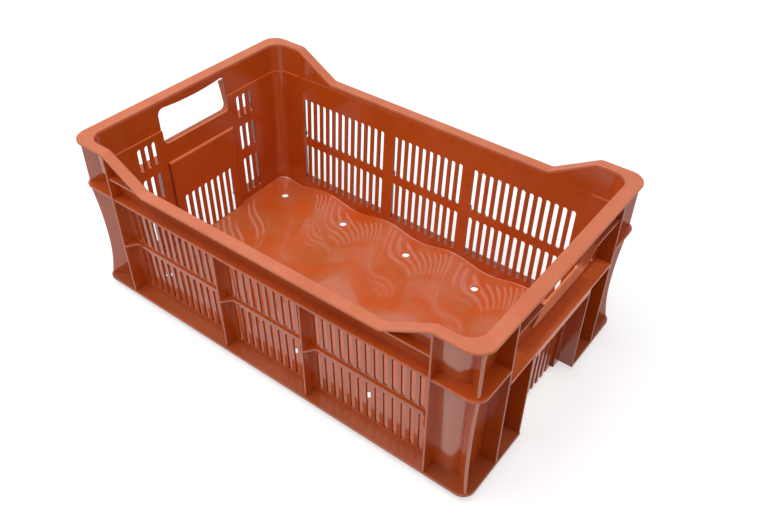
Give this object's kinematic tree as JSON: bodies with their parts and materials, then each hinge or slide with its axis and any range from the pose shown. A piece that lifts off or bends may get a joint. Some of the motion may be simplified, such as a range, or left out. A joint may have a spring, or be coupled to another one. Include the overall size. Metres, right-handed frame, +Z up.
{
  "type": "ventilated stacking crate",
  "caption": "Open-top rectangular plastic crate with slotted walls, raised ends with handholds, lowered long sides, ribbed outside and a rippled, drained floor, for carrying and stacking goods.",
  "frame": {"origin": "middle of the footprint on the ground plane the crate stands on", "axes": "+X along the crate towards its right end, +Y across it from front to back, +Z up"},
  "size_m": [0.6, 0.3676, 0.2372],
  "materials": {
    "crate_body": "glossy moulded",
    "crate_rim": "glossy moulded",
    "crate_floor": "glossy moulded"
  },
  "bodies": {
    "root": {"back_band": "crate_body", "back_base_flange": "crate_body", "back_left_bay_rib": "crate_body", "back_left_corner_band": "crate_body", "back_left_corner_foot": "crate_body", "back_left_corner_post": "crate_body", "back_left_corner_rib": "crate_body", "back_left_cross_rib": "crate_body", "back_left_end_rib": "crate_body", "back_left_foot_rib": "crate_body", "back_left_shoulder": "crate_body", "back_middle_cross_rib": "crate_body", "back_right_bay_rib": "crate_body", "back_right_corner_band": "crate_body", "back_right_corner_foot": "crate_body", "back_right_corner_post": "crate_body", "back_right_corner_rib": "crate_body", "back_right_cross_rib": "crate_body", "back_right_end_rib": "crate_body", "back_right_foot_rib": "crate_body", "back_right_shoulder": "crate_body", "back_rim": "crate_rim", "back_wall": "crate_body", "floor_panel": "crate_floor", "front_band": "crate_body", "front_base_flange": "crate_body", "front_left_bay_rib": "crate_body", "front_left_corner_band": "crate_body", "front_left_corner_foot": "crate_body", "front_left_corner_post": "crate_body", "front_left_corner_rib": "crate_body", "front_left_cross_rib": "crate_body", "front_left_end_rib": "crate_body", "front_left_foot_rib": "crate_body", "front_left_shoulder": "crate_body", "front_middle_cross_rib": "crate_body", "front_right_bay_rib": "crate_body", "front_right_corner_band": "crate_body", "front_right_corner_foot": "crate_body", "front_right_corner_post": "crate_body", "front_right_corner_rib": "crate_body", "front_right_cross_rib": "crate_body", "front_right_end_rib": "crate_body", "front_right_foot_rib": "crate_body", "front_right_shoulder": "crate_body", "front_rim": "crate_rim", "front_wall": "crate_body", "left_end_shelf": "crate_body", "left_end_wall": "crate_body", "left_handle_shroud": "crate_body", "left_rim": "crate_rim", "left_vent_panel": "crate_body", "right_end_shelf": "crate_body", "right_end_wall": "crate_body", "right_handle_shroud": "crate_body", "right_rim": "crate_rim", "right_vent_panel": "crate_body"}
  },
  "joints": []
}
